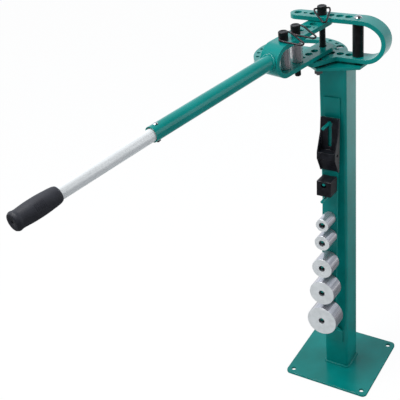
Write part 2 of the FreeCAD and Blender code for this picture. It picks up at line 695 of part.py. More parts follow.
def handle_bar():
    """The bar leans a little more than its socket, because it fits loosely."""
    bar = pipe(HANDLE_OD, HANDLE_OD - 2 * HANDLE_WALL, HANDLE_LENGTH, HANDLE_BASE, HANDLE_WAY)
    return set_on_lever(bar.cut(cross_hole()))


def cross_screw():
    """A screw down through the socket tube and the handle bar, with a low nut under it."""
    lean = math.tan(math.radians(SOCKET_DROOP)) * CROSS_HEAD_D / 2
    top = SCREW_POINT + Vector(0, 0, SOCKET_OD / 2 + lean)
    bottom = SCREW_POINT - Vector(0, 0, SOCKET_OD / 2 + lean)
    shank = rod(CROSS_SCREW_D, SOCKET_OD + 2 * lean + 2 * CROSS_HEAD_H, bottom - Vector(0, 0, 2 * CROSS_HEAD_H))
    screw = shank.fuse(dome(CROSS_HEAD_D, CROSS_HEAD_H, top)).removeSplitter()
    low = bottom - Vector(0, 0, CROSS_HEAD_H)
    nut = hexagon(CROSS_HEAD_D, CROSS_HEAD_H, low)
    nut = nut.cut(rod(CROSS_SCREW_D + 2 * NUT_CLEAR, CROSS_HEAD_H, low))
    return [set_on_lever(screw), set_on_lever(nut)]


def grip():
    """The moulded sleeve on the handle's end, closed by its own cap with a vent."""
    length = GRIP_SHAPE[-1][0]
    cap_start = length - GRIP_CAP_T
    curve = Part.BSplineCurve()
    curve.interpolate([Vector(at, 0, wide / 2) for at, wide in GRIP_SHAPE])
    start = Vector(0, 0, 0)
    end = Vector(length, 0, 0)
    side = [Part.LineSegment(start, curve.StartPoint).toShape(), curve.toShape(),
            Part.LineSegment(curve.EndPoint, end).toShape(), Part.LineSegment(end, start).toShape()]
    body = Part.Face(Part.Wire(side)).revolve(start, Vector(1, 0, 0), 360)
    body = body.cut(rod(HANDLE_OD, cap_start, start, Vector(1, 0, 0)))
    body = body.cut(rod(GRIP_VENT_D, length, start, Vector(1, 0, 0)))
    place = HANDLE_BASE + HANDLE_WAY * (HANDLE_LENGTH - cap_start)
    body.Placement = Placement(place, Rotation(Vector(0, 1, 0), HANDLE_DROOP))
    return set_on_lever(body)


def lever_washer():
    """The thrust washer that carries the lever on the lower arm."""
    return pipe(1.4 * PIN_HEAD_D, HOLE_D, LEVER_WASHER_T, Vector(PIVOT_X, 0, ARM_TOP))


def bail_hole(bail_up):
    """The cross hole in a pin's head for the bail's two ends, before the bail's own turns."""
    return rod(WIRE_D + 2 * WIRE_PLAY, 2 * PIN_HEAD_D, Vector(0, -PIN_HEAD_D, bail_up), Vector(0, 1, 0))


def pin(shaft, bail_up, heading, roll):
    """A headed pin, its head on the origin, with a cross hole for its bail."""
    head = rod(PIN_HEAD_D, PIN_HEAD_H, Vector(0, 0, 0))
    top = [e for e in head.Edges if isinstance(e.Curve, Part.Circle) and e.CenterOfMass.z > PIN_HEAD_H / 2]
    head = head.makeFillet(PIN_HEAD_EDGE, top)
    body = rod(PIN_D, shaft + PLATE_EDGE_R, Vector(0, 0, -shaft))
    tip = [e for e in body.Edges if isinstance(e.Curve, Part.Circle) and e.CenterOfMass.z < -shaft / 2]
    body = body.makeChamfer(PIN_TIP_CHAMFER, tip)
    hole = bail_hole(bail_up)
    hole.rotate(Vector(0, 0, bail_up), Vector(1, 0, 0), roll)
    hole.rotate(Vector(0, 0, 0), Z_AXIS, heading)
    return head.fuse(body).removeSplitter().cut(hole)


def bail(half_w, bail_up, heading, droop, roll):
    """The wire loop: two ends in the pin's head, bowed legs and a narrow round tip."""
    inside = PIN_HEAD_D / 2 - WIRE_D
    bow_x = 0.2 * BAIL_REACH
    tip_x = BAIL_REACH - BAIL_TIP_R
    apart = math.hypot(tip_x - bow_x, half_w)
    slope = math.atan2(half_w, tip_x - bow_x) - math.asin(BAIL_TIP_R / apart)
    touch = Vector(tip_x + BAIL_TIP_R * math.sin(slope), BAIL_TIP_R * math.cos(slope), 0)
    right = [Vector(0, inside, 0), Vector(0, half_w, 0), Vector(bow_x, half_w, 0), touch]
    left = [Vector(p.x, -p.y, 0) for p in reversed(right)]
    arc = Part.Arc(touch, Vector(BAIL_REACH, 0, 0), left[0]).toShape()
    bends = (0.85 * WIRE_D, 2.2 * WIRE_D)
    edges = rounded_path(right, bends) + [arc] + rounded_path(left, bends[::-1])
    circle = Part.Wire(Part.makeCircle(WIRE_D / 2, right[0], Vector(0, 1, 0)))
    loop = Part.Wire(edges).makePipeShell([circle], True, False)
    loop.rotate(Vector(0, 0, 0), Vector(0, 1, 0), droop)
    loop.rotate(Vector(0, 0, 0), Vector(1, 0, 0), roll)
    loop.rotate(Vector(0, 0, 0), Z_AXIS, heading)
    loop.translate(Vector(0, 0, bail_up))
    return loop


def rounded_path(points, radii):
    """Straight runs joined by tangent arcs of at most the given radii."""
    edges = []
    start = points[0]
    for i in range(1, len(points) - 1):
        before = (points[i] - points[i - 1]).normalize()
        after = (points[i + 1] - points[i]).normalize()
        turn = before.getAngle(after)
        radius = radii[i - 1]
        cut = radius * math.tan(turn / 2)
        a = points[i] - before * cut
        b = points[i] + after * cut
        bisector = (after - before).normalize()
        centre = points[i] + bisector * (radius / math.cos(turn / 2))
        mid = centre - bisector * radius
        edges.append(Part.LineSegment(start, a).toShape())
        edges.append(Part.Arc(a, mid, b).toShape())
        start = b
    edges.append(Part.LineSegment(start, points[-1]).toShape())
    return edges


def roller(at):
    """A small die that turns on a roller pin, just above the bracket's lower arm."""
    shape = die(ROLLER_D, DIE_LENGTH, BORE_D)
    shape.rotate(Vector(0, 0, 0), Vector(1, 0, 0), -90)
    shape.translate(Vector(at, 0, SEAT_GAP - LEVER_MOUTH / 2))
    return set_on_lever(shape)


def pivot_pin_and_bail():
    """The pivot pin stands on the frame."""
    place = Vector(PIVOT_X, 0, FRAME_TOP)
    pieces = [pin(PIVOT_PIN, PIVOT_BAIL_UP, PIVOT_BAIL_HEADING, 0.0),
              bail(PIVOT_BAIL_HALF_W, PIVOT_BAIL_UP, PIVOT_BAIL_HEADING, PIVOT_BAIL_DROOP, 0.0)]
    for piece in pieces:
        piece.translate(place)
    return pieces


def roller_pin_and_bail(at, shaft):
    """A roller pin stands on the lever's bracket."""
    place = Vector(at, 0, LEVER_H / 2)
    pieces = [pin(shaft, ROLLER_BAIL_UP, ROLLER_BAIL_HEADING, ROLLER_BAIL_ROLL),
              bail(ROLLER_BAIL_HALF_W, ROLLER_BAIL_UP, ROLLER_BAIL_HEADING, ROLLER_BAIL_DROOP,
                   ROLLER_BAIL_ROLL)]
    for piece in pieces:
        piece.translate(place)
    return [set_on_lever(piece) for piece in pieces]


PIN_SETS = {
    "pivot": pivot_pin_and_bail(),
    "inner": roller_pin_and_bail(ROLLER_PIN_AT[0], INNER_PIN),
    "outer": roller_pin_and_bail(ROLLER_PIN_AT[1], OUTER_PIN),
}

os.makedirs("parts", exist_ok=True)

write("base_plate", base_plate())
write("post_tube", post_tube())
write("foot_weld", square_weld(FOOT_WELD_LEG, BASE_T, 1))
write("head_weld", square_weld(HEAD_WELD_LEG, POST_TOP, -1))
write("head_plate", head_plate())
write("angle_ring", angle_ring())
write("main_frame", main_frame())
write("side_leg", side_leg())
write("spacer_column", spacer_column())
write("spacer_screws", Part.makeCompound(spacer_screws()))
write("side_screw", side_screw())
write("ring_screw", ring_screw())
write("ring_washer", ring_washer())
write("frame_nuts", Part.makeCompound(frame_nuts()))
write("bolt_spacers", Part.makeCompound(bolt_spacers()))
write("rack_strip", rack_strip())
write("rack_pegs", Part.makeCompound(rack_pegs()))
write("lever_washer", lever_washer())
write("lever_bracket", lever_bracket())
write("lever_weld", lever_weld())
write("socket_tube", socket_tube())
write("handle_bar", handle_bar())
write("cross_screw", Part.makeCompound(cross_screw()))
write("grip", grip())
for name, (loose_pin, wire) in PIN_SETS.items():
    write("pin_" + name, loose_pin)
    write("bail_" + name, wire)
write("roller_inner", roller(ROLLER_PIN_AT[0]))
write("roller_outer", roller(ROLLER_PIN_AT[1]))
for number, (diameter, z) in enumerate(zip(DIE_D, DIE_Z), start=1):
    write(f"die_{number}", hang(die(diameter, DIE_LENGTH, BORE_D), z))
write("pressure_foot", hang(pressure_foot(), FOOT_Z))
write("square_block", hang(square_block(), BLOCK_Z))
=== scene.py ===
import json
import math
import random

import bmesh
import bpy
from mathutils import Matrix, Vector

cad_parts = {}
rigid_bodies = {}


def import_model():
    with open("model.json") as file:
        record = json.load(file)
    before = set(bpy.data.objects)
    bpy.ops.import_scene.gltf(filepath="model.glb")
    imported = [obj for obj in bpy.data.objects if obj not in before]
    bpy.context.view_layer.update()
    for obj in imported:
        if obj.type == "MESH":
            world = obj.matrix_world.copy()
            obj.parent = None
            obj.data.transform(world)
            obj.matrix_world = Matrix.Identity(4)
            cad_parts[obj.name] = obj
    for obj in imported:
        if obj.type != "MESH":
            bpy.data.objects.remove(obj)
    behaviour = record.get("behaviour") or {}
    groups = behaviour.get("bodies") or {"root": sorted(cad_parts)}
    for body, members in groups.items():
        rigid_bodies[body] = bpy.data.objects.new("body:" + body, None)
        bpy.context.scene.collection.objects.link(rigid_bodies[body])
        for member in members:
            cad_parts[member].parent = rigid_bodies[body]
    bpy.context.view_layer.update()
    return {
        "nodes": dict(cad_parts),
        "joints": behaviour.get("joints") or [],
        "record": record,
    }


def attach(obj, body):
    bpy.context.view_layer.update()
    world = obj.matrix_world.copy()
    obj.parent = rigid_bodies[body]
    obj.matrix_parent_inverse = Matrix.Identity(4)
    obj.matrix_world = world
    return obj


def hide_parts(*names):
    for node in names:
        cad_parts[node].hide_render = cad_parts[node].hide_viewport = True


# Clear the stage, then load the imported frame
for old in list(bpy.data.objects):
    bpy.data.objects.remove(old)
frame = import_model()
nodes = frame["nodes"]
record = frame["record"]
JOINTS = {joint["name"]: joint for joint in frame["joints"]}
MM = 0.001

# Sizes of the pieces that are made again here, in millimetres, as in the solids
POST_SIDE = 63.5
POST_CORNER_R = 6.0
BASE_T = 6.0
POST_TOP = 857.5
LEVER_ANGLE = -102.0
LEVER_HANG = 1.5
LEVER_BEND_AT = 176.5
LEVER_MOUTH = 52.1
LEVER_H = 71.1
LEVER_BAR_T = 9.5
SOCKET_OD = 31.75
SOCKET_UP = 5.2
SOCKET_DROOP = 1.8
SOCKET_LENGTH = 336.0
CROSS_SCREW_FROM_END = 13.5
HANDLE_OD = 25.4
HANDLE_SAG = 0.6
HANDLE_DROOP = 2.5
HANDLE_OUT = 312.0
# The grip's own width at places along it
GRIP_SHAPE = ((0.0, 29.0), (5.0, 32.4), (19.0, 35.2), (39.0, 37.3), (59.0, 37.2), (74.0, 35.4),
              (84.0, 34.4), (90.5, 36.2), (95.5, 31.0))
GRIP_CAP_T = 3.0
GRIP_VENT_D = 5.5
PIN_D = 13.6
PIN_HEAD_D = 20.5
PIN_HEAD_H = 19.5
PIN_TIP_CHAMFER = 1.5
PIN_SHAFTS = {"pivot": 92.5, "inner": 95.0, "outer": 72.0}
DIES = 5

# The lever's own frame: +X along the lever from the pivot, z = 0 at the bracket's middle
LEVER_FRAME = (Matrix.Translation(Vector(JOINTS["lever_swing"]["pos_m"]) / MM)
               @ Matrix.Rotation(math.radians(LEVER_ANGLE), 4, "Z")
               @ Matrix.Rotation(math.radians(LEVER_HANG), 4, "Y"))


def fall(degrees):
    """The direction along the lever that points down by an angle."""
    return Vector((math.cos(math.radians(degrees)), 0, -math.sin(math.radians(degrees))))


def srgb(code):
    """A colour written as a hex code, as the linear numbers that a shader takes."""
    values = [int(code[i:i + 2], 16) / 255 for i in (1, 3, 5)]
    linear = [v / 12.92 if v <= 0.04045 else ((v + 0.055) / 1.055) ** 2.4 for v in values]
    return (*linear, 1.0)


def add(tree, kind, inputs=None, **settings):
    """Adds one shader node: its settings, and for each input a value or another node's output."""
    made = tree.nodes.new("ShaderNode" + kind)
    for name, value in settings.items():
        setattr(made, name, value)
    for name, value in (inputs or {}).items():
        if isinstance(value, bpy.types.NodeSocket):
            tree.links.new(value, made.inputs[name])
        else:
            made.inputs[name].default_value = value
    return made


def new_material(name):
    """An empty material, its node tree, and the object coordinates that its patterns read."""
    material = bpy.data.materials.new(name)
    material.use_nodes = True
    tree = material.node_tree
    tree.nodes.clear()
    return material, tree, add(tree, "TexCoord").outputs["Object"]


def finish_surface(tree, inputs):
    """The material's one shader, wired to its output."""
    shader = add(tree, "BsdfPrincipled", inputs)
    add(tree, "OutputMaterial", {"Surface": shader.outputs[0]})


def powder_coat(name, colour, deep, edge, gloss):
    """Gloss polyester powder coat on mild steel. It gives the eye a soft orange peel, a slow
    drift of depth, and a brighter line along the sheared edges, where the coat is thinner; the
    brightness is a painted highlight."""
    material, tree, place = new_material(name)
    drift = add(tree, "TexNoise", {"Vector": place, "Scale": 14.0, "Detail": 3.0}).outputs["Fac"]
    depth = add(tree, "MapRange", {"Value": drift, "From Min": 0.35, "From Max": 0.65}).outputs[0]
    body = add(tree, "Mix", {0: depth, 6: srgb(deep), 7: srgb(colour)}, data_type="RGBA").outputs[2]
    rounded = add(tree, "Bevel", {"Radius": 1.1 * MM}, samples=4).outputs[0]
    true_face = add(tree, "NewGeometry").outputs["Normal"]
    same = add(tree, "VectorMath", {0: rounded, 1: true_face}, operation="DOT_PRODUCT").outputs["Value"]
    # Painted highlight: the sheared edges take the brighter edge colour, where the coat is also thinner
    thin_and_lit_edge = add(tree, "MapRange", {"Value": same, "From Min": 0.97, "From Max": 0.75}).outputs[0]
    colour_out = add(tree, "Mix", {0: thin_and_lit_edge, 6: body, 7: srgb(edge)}, data_type="RGBA").outputs[2]
    cloud = add(tree, "TexNoise", {"Vector": place, "Scale": 45.0, "Detail": 2.0}).outputs["Fac"]
    rough = add(tree, "MapRange", {"Value": cloud, "From Min": 0.3, "From Max": 0.7,
                                   "To Min": gloss - 0.03, "To Max": gloss + 0.05}).outputs[0]
    # Orange peel of about 2.5 mm, and grit in the coat
    peel = add(tree, "TexNoise", {"Vector": place, "Scale": 400.0, "Detail": 1.5}).outputs["Fac"]
    skin = add(tree, "Bump", {"Height": peel, "Distance": 0.1 * MM, "Strength": 0.5,
                              "Normal": rounded}).outputs[0]
    finish_surface(tree, {"Base Color": colour_out, "Roughness": rough, "Normal": skin,
                          "Specular IOR Level": 0.45})
    return material


def black_oxide(name, colour, pale, rough, metal, edge="#56525a"):
    """Blackened steel. It gives the eye a near-black skin with soft blotches, and edges worn
    lighter by rubbing; where the edge colour is pale, that is a painted highlight.
    """
    material, tree, place = new_material(name)
    cloud = add(tree, "TexNoise", {"Vector": place, "Scale": 90.0, "Detail": 4.0}).outputs["Fac"]
    share = add(tree, "MapRange", {"Value": cloud, "From Min": 0.38, "From Max": 0.7}).outputs[0]
    body = add(tree, "Mix", {0: share, 6: srgb(colour), 7: srgb(pale)}, data_type="RGBA").outputs[2]
    rounded = add(tree, "Bevel", {"Radius": 0.6 * MM}, samples=4).outputs[0]
    true_face = add(tree, "NewGeometry").outputs["Normal"]
    same = add(tree, "VectorMath", {0: rounded, 1: true_face}, operation="DOT_PRODUCT").outputs["Value"]
    # Edges take the edge colour: wear from rubbing, and a painted highlight where that colour is pale
    rubbed_and_lit_edge = add(tree, "MapRange", {"Value": same, "From Min": 0.98, "From Max": 0.7,
                                    "To Max": 0.6}).outputs[0]
    colour_out = add(tree, "Mix", {0: rubbed_and_lit_edge, 6: body, 7: srgb(edge)}, data_type="RGBA").outputs[2]
    fine = add(tree, "TexNoise", {"Vector": place, "Scale": 900.0, "Detail": 3.0}).outputs["Fac"]
    rough_out = add(tree, "MapRange", {"Value": fine, "From Min": 0.3, "From Max": 0.7,
                                       "To Min": rough - 0.06, "To Max": rough + 0.08}).outputs[0]
    skin = add(tree, "Bump", {"Height": fine, "Distance": 0.06 * MM, "Strength": 0.4,
                              "Normal": rounded}).outputs[0]
    finish_surface(tree, {"Base Color": colour_out, "Roughness": rough_out, "Normal": skin,
                          "Metallic": metal})
    return material


def turned_steel(name, centre, axis, face, side, rough, side_rough):
    """Bare low-carbon steel off a lathe. It gives the eye fine rings about the piece's own axis
    on its flat faces, and long pale and dark streaks along its polished sides."""
    material, tree, place = new_material(name)
    offset = add(tree, "VectorMath", {0: place, 1: centre}, operation="SUBTRACT").outputs["Vector"]
    across = add(tree, "VectorMath", {0: offset, 1: axis}, operation="CROSS_PRODUCT").outputs["Vector"]
    radius = add(tree, "VectorMath", {0: across}, operation="LENGTH").outputs["Value"]
    line = add(tree, "CombineXYZ", {"X": radius}).outputs[0]
    # Tool marks are drawn 0.7 mm apart, coarser than the real feed, so that they show
    rings = add(tree, "TexNoise", {"Vector": line, "Scale": 1400.0, "Detail": 2.0}).outputs["Fac"]
    streaks = add(tree, "TexNoise", {"Vector": across, "Scale": 190.0, "Detail": 3.0}).outputs["Fac"]
    stain = add(tree, "TexNoise", {"Vector": place, "Scale": 60.0, "Detail": 4.0}).outputs["Fac"]
    normal = add(tree, "NewGeometry").outputs["Normal"]
    square = add(tree, "VectorMath", {0: normal, 1: axis}, operation="DOT_PRODUCT").outputs["Value"]
    flat = add(tree, "Math", {0: square}, operation="ABSOLUTE").outputs[0]
    dull = add(tree, "MapRange", {"Value": stain, "From Min": 0.35, "From Max": 0.7}).outputs[0]
    worn = add(tree, "MapRange", {"Value": streaks, "From Min": 0.35, "From Max": 0.65}).outputs[0]
    on_face = add(tree, "Mix", {0: dull, 6: srgb(face[0]), 7: srgb(face[1])},
                  data_type="RGBA").outputs[2]
    on_side = add(tree, "Mix", {0: worn, 6: srgb(side[0]), 7: srgb(side[1])},
                  data_type="RGBA").outputs[2]
    body = add(tree, "Mix", {0: flat, 6: on_side, 7: on_face}, data_type="RGBA").outputs[2]
    marks = add(tree, "Mix", {0: flat, 2: streaks, 3: rings}).outputs[0]
    level = add(tree, "MapRange", {"Value": flat, "To Min": side_rough, "To Max": rough}).outputs[0]
    rough_out = add(tree, "Math", {0: marks, 1: 0.12, 2: level}, operation="MULTIPLY_ADD").outputs[0]
    rounded = add(tree, "Bevel", {"Radius": 0.5 * MM}, samples=4).outputs[0]
    skin = add(tree, "Bump", {"Height": marks, "Distance": 0.05 * MM, "Strength": 0.4,
                              "Normal": rounded}).outputs[0]
    metal = add(tree, "MapRange", {"Value": flat, "To Min": 0.75, "To Max": 0.25}).outputs[0]
    finish_surface(tree, {"Base Color": body, "Roughness": rough_out, "Normal": skin, "Metallic": metal})
    return material


def drawn_tube(name, colour, dull, rough):
    """Nickel-plated drawn tube. It gives the eye long faint die lines and a satin shine."""
    material, tree, place = new_material(name)
    # The lines run 35 times as far along the handle as across it
    way = (0.0, math.radians(HANDLE_DROOP + LEVER_HANG), math.radians(LEVER_ANGLE))
    flat = add(tree, "Mapping", {"Vector": place, "Rotation": way, "Scale": (35.0, 1.0, 1.0)},
               vector_type="TEXTURE").outputs[0]
    lines = add(tree, "TexNoise", {"Vector": flat, "Scale": 700.0, "Detail": 3.0}).outputs["Fac"]
    share = add(tree, "MapRange", {"Value": lines, "From Min": 0.35, "From Max": 0.7}).outputs[0]
    body = add(tree, "Mix", {0: share, 6: srgb(colour), 7: srgb(dull)}, data_type="RGBA").outputs[2]
    rough_out = add(tree, "MapRange", {"Value": lines, "From Min": 0.3, "From Max": 0.7,
                                       "To Min": rough - 0.05, "To Max": rough + 0.05}).outputs[0]
    skin = add(tree, "Bump", {"Height": lines, "Distance": 0.02 * MM, "Strength": 0.1}).outputs[0]
    finish_surface(tree, {"Base Color": body, "Roughness": rough_out, "Normal": skin, "Metallic": 0.35})
    return material


def zinc_plate(name):
    """Bright zinc-plated hardware. It gives the eye a cool white shine with small dull spangles."""
    material, tree, place = new_material(name)
    spangle = add(tree, "TexNoise", {"Vector": place, "Scale": 350.0, "Detail": 3.0}).outputs["Fac"]
    body = add(tree, "Mix", {0: spangle, 6: srgb("#d4d6d8"), 7: srgb("#a5a8ab")},
               data_type="RGBA").outputs[2]
    rounded = add(tree, "Bevel", {"Radius": 0.4 * MM}, samples=4).outputs[0]
    skin = add(tree, "Bump", {"Height": spangle, "Distance": 0.04 * MM, "Strength": 0.4,
                              "Normal": rounded}).outputs[0]
    finish_surface(tree, {"Base Color": body, "Roughness": 0.26, "Normal": skin, "Metallic": 1.0})
    return material


def moulded_grip(name):
    """Soft PVC, dip-moulded. It gives the eye a matte blue-black skin with a fine leathery grain."""
    material, tree, place = new_material(name)
    cloud = add(tree, "TexNoise", {"Vector": place, "Scale": 80.0, "Detail": 3.0}).outputs["Fac"]
    body = add(tree, "Mix", {0: cloud, 6: srgb("#1a1a22"), 7: srgb("#282a33")},
               data_type="RGBA").outputs[2]
    grain = add(tree, "TexVoronoi", {"Vector": place, "Scale": 900.0}).outputs["Distance"]
    rough = add(tree, "MapRange", {"Value": grain, "From Max": 0.6, "To Min": 0.48,
                                   "To Max": 0.62}).outputs[0]
    skin = add(tree, "Bump", {"Height": grain, "Distance": 0.08 * MM, "Strength": 0.5}).outputs[0]
    finish_surface(tree, {"Base Color": body, "Roughness": rough, "Normal": skin})
    return material


# The third colour is the painted highlight along the coat's edges
GREEN = powder_coat("green powder coat", "#007c77", "#00716b", "#009a88", 0.2)
BLACK = black_oxide("black oxide steel", "#0b0a0c", "#18161a", 0.4, 0.1)
WIRE = black_oxide("black spring wire", "#211a1d", "#33292e", 0.38, 0.3)
# The dipped iron's pale edge colour is a painted highlight along the rims of its walls
ENAMEL = black_oxide("black dipped iron", "#15161b", "#22232a", 0.3, 0.15, "#9a9aa4")
BLOCK = black_oxide("phosphated steel block", "#15141a", "#222128", 0.45, 0.2, "#4c4b53")
ZINC = zinc_plate("bright zinc plate")
BAR = drawn_tube("nickel-plated tube", "#e6e7e7", "#d8dada", 0.38)
GRIP = moulded_grip("moulded PVC grip")


def dress(node, material):
    """Give a CAD node one material in its own slots."""
    mesh = nodes[node].data
    if not mesh.materials:
        mesh.materials.append(material)
    for i in range(len(mesh.materials)):
        mesh.materials[i] = material


# The finishes go on by slot, then the pieces whose finish differs get their own
SLOT_FINISH = {"green_paint": GREEN, "black_steel": BLACK, "zinc_hardware": ZINC, "plated_bar": BAR,
               "grip_rubber": GRIP}
for part in record["subparts"]:
    if part["material_slot"] in SLOT_FINISH:
        dress(part["node"], SLOT_FINISH[part["material_slot"]])
for place in PIN_SHAFTS:
    dress("bail_" + place, WIRE)
dress("pressure_foot", ENAMEL)
dress("square_block", BLOCK)
for number in range(1, DIES + 1):
    joint = JOINTS[f"die_{number}_off"]
    dress(f"die_{number}", turned_steel(f"turned steel die {number}", joint["pos_m"], joint["axis"],
                                        ("#e6e8e8", "#d6d8d8"), ("#d6d6dc", "#b2b2ba"), 0.36, 0.22))
for place in ("inner", "outer"):
    joint = JOINTS[f"roller_{place}_turn"]
    dress(f"roller_{place}", turned_steel(f"polished steel roller {place}", joint["pos_m"],
                                          joint["axis"], ("#c9c6c8", "#b4b1b4"),
                                          ("#dedadc", "#aca8ac"), 0.3, 0.16))


def settle(bm, name, pose, material, body, stands_for):
    """Turns a finished bmesh in millimetres into a piece at its place, riding on its body."""
    bmesh.ops.remove_doubles(bm, verts=bm.verts, dist=0.001)
    bmesh.ops.recalc_face_normals(bm, faces=bm.faces)
    bm.transform(Matrix.Scale(MM, 4) @ pose)
    mesh = bpy.data.meshes.new(name)
    bm.to_mesh(mesh)
    bm.free()
    mesh.shade_smooth()
    mesh.materials.append(material)
    piece = bpy.data.objects.new(name, mesh)
    bpy.context.scene.collection.objects.link(piece)
    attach(piece, body)
    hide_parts(stands_for)


def spun(profile, steps):
    """A closed turned shape about +Z from a profile of (radius, height) points."""
    bm = bmesh.new()
    ring = [bm.verts.new((radius, 0, height)) for radius, height in profile]
    edges = [bm.edges.new(pair) for pair in zip(ring, ring[1:])]
    bmesh.ops.spin(bm, geom=ring + edges, axis=(0, 0, 1), cent=(0, 0, 0), angle=math.tau, steps=steps,
                   use_merge=True)
    return bm


# Pins: straight knurling round the head, a plain rim above and below it
TEETH = 30
KNURL_DEPTH = 0.45
KNURL_LOW = 3.2
KNURL_HIGH = 15.8
KNURL_END = 0.7
HEAD_RADIUS = PIN_HEAD_D / 2
PIN_RADIUS = PIN_D / 2
# The head's dished top and its soft edge, as radius and depth below the top
HEAD_TOP = ((0.0, 0.9), (6.4, 0.9), (7.0, 0.0), (8.6, 0.0), (9.4, 0.25), (10.0, 0.85),
            (HEAD_RADIUS, 1.7))
HEAD_SEAT_EDGE = 0.5


def knurled_pin(place, shaft):
    """A headed pin, its head's seat on the joint's own point."""
    tip = -shaft + PIN_TIP_CHAMFER
    profile = [(radius, PIN_HEAD_H - depth) for radius, depth in HEAD_TOP]
    profile += [(HEAD_RADIUS, KNURL_HIGH + KNURL_END), (HEAD_RADIUS, KNURL_HIGH),
                (HEAD_RADIUS, KNURL_LOW), (HEAD_RADIUS, KNURL_LOW - KNURL_END),
                (HEAD_RADIUS, HEAD_SEAT_EDGE), (HEAD_RADIUS - HEAD_SEAT_EDGE, 0.0), (PIN_RADIUS, 0.0),
                (PIN_RADIUS, -0.4), (PIN_RADIUS, tip + 0.3), (PIN_RADIUS - 0.15, tip),
                (PIN_RADIUS - PIN_TIP_CHAMFER, -shaft), (0.0, -shaft)]
    bm = spun(profile, 4 * TEETH)
    for vert in bm.verts:
        if KNURL_LOW - 0.1 < vert.co.z < KNURL_HIGH + 0.1:
            turn = math.atan2(vert.co.y, vert.co.x) * TEETH
            out = 1 - KNURL_DEPTH * (0.5 - 0.5 * math.cos(turn)) / HEAD_RADIUS
            vert.co.x *= out
            vert.co.y *= out
    joint = JOINTS[f"pin_{place}_lift"]
    turn = Vector((0, 0, 1)).rotation_difference(Vector(joint["axis"])).to_matrix().to_4x4()
    pose = Matrix.Translation(Vector(joint["pos_m"]) / MM) @ turn
    settle(bm, f"knurled_pin_{place}", pose, BLACK, f"pin_{place}_body",
           f"pin_{place}")


for place, shaft in PIN_SHAFTS.items():
    knurled_pin(place, shaft)

# Grip: a turned sleeve with a closed end, and two patches of fine finger ribs
RIB_PITCH = 3.0
RIB_DEPTH = 0.9
RIB_FROM = 36.0
RIB_TO = 57.0
RIB_SPREAD = math.radians(24)
RIB_FADE = math.radians(8)
RIB_MIDDLES = (math.radians(62), math.radians(-62))
# The rounded rim of the closed end, as steps inward and back from the end
GRIP_RIM = ((0.5, 0.7), (1.3, 0.2), (2.4, 0.0))
GRIP_RIM_FROM = 1.2


def eased(points, at):
    """A smooth curve through (place, value) points."""
    i = max(k for k in range(len(points) - 1) if points[k][0] <= at)
    spots = [points[max(i - 1, 0)], points[i], points[i + 1], points[min(i + 2, len(points) - 1)]]
    slopes = [(spots[k + 2][1] - spots[k][1]) / (spots[k + 2][0] - spots[k][0]) for k in (0, 1)]
    wide = spots[2][0] - spots[1][0]
    t = (at - spots[1][0]) / wide
    return ((2 * t ** 3 - 3 * t ** 2 + 1) * spots[1][1] + (t ** 3 - 2 * t ** 2 + t) * wide * slopes[0]
            + (3 * t ** 2 - 2 * t ** 3) * spots[2][1] + (t ** 3 - t ** 2) * wide * slopes[1])


def moulded_sleeve():
    """The grip, seat at its open end; +Z runs out along the handle."""
    length = GRIP_SHAPE[-1][0]
    bore = HANDLE_OD / 2
    vent = GRIP_VENT_D / 2
    outside = []
    at = 0.0
    while at < length - GRIP_RIM_FROM:
        outside.append((eased(GRIP_SHAPE, at) / 2, at))
        at += RIB_PITCH / 6
    rim = outside[-1][0]
    profile = [(bore, 0.0), *outside[1:], *((rim - inward, length - back) for inward, back in GRIP_RIM),
               (vent + 1.0, length - 0.3), (vent, length - 1.0), (vent, length - GRIP_CAP_T),
               (bore, length - GRIP_CAP_T), (bore, 0.0)]
    bm = spun(profile, 120)
    for vert in bm.verts:
        around = math.atan2(vert.co.y, -vert.co.x)
        if RIB_FROM < vert.co.z < RIB_TO and vert.co.xy.length > bore + 1:
            near = min(abs(around - middle) for middle in RIB_MIDDLES)
            fade = max(0.0, min(1.0, (RIB_SPREAD - near) / RIB_FADE))
            groove = 0.5 - 0.5 * math.cos(math.tau * (vert.co.z - RIB_FROM) / RIB_PITCH)
            shrink = 1 - RIB_DEPTH * fade * groove / vert.co.xy.length
            vert.co.x *= shrink
            vert.co.y *= shrink
    screw = Vector((LEVER_BEND_AT + LEVER_BAR_T, 0, SOCKET_UP))
    screw += fall(SOCKET_DROOP) * (SOCKET_LENGTH - CROSS_SCREW_FROM_END)
    start = screw - Vector((0, 0, HANDLE_SAG))
    start += fall(HANDLE_DROOP) * (HANDLE_OUT + CROSS_SCREW_FROM_END - length + GRIP_CAP_T)
    along = Matrix.Rotation(math.radians(90 + HANDLE_DROOP), 4, "Y")
    pose = LEVER_FRAME @ Matrix.Translation(start) @ along
    settle(bm, "ribbed_grip", pose, GRIP, "lever", "grip")


moulded_sleeve()

# Welds: one ripple beside the next, each thickest at its front
RIPPLE = 2.3
SWELLS = (0.9, 0.98, 1.06, 1.03)
STEP = RIPPLE / len(SWELLS)
FOOT_BEAD_R = 3.7
FOOT_BEAD_OUT = 0.8
HEAD_BEAD_R = 3.0
HEAD_BEAD_OUT = 0.6
SOCKET_BEAD_R = 3.6


def rounded_square(half, corner, height):
    """Points round a square with rounded corners."""
    points = []
    for quarter in range(4):
        for part in range(7):
            turn = math.radians(90 * quarter + 15 * part)
            corner_turn = Matrix.Rotation(math.radians(90 * quarter), 3, "Z")
            centre = corner_turn @ Vector((half - corner, half - corner, 0))
            points.append(centre + Vector((corner * math.cos(turn), corner * math.sin(turn), height)))
    return points


def evenly(points, step):
    """A closed path, walked again in equal short steps."""
    walked = []
    left = 0.0
    for start, end in zip(points, points[1:] + points[:1]):
        length = (end - start).length
        while left < length:
            walked.append(start.lerp(end, left / length))
            left += step
        left -= length
    return walked


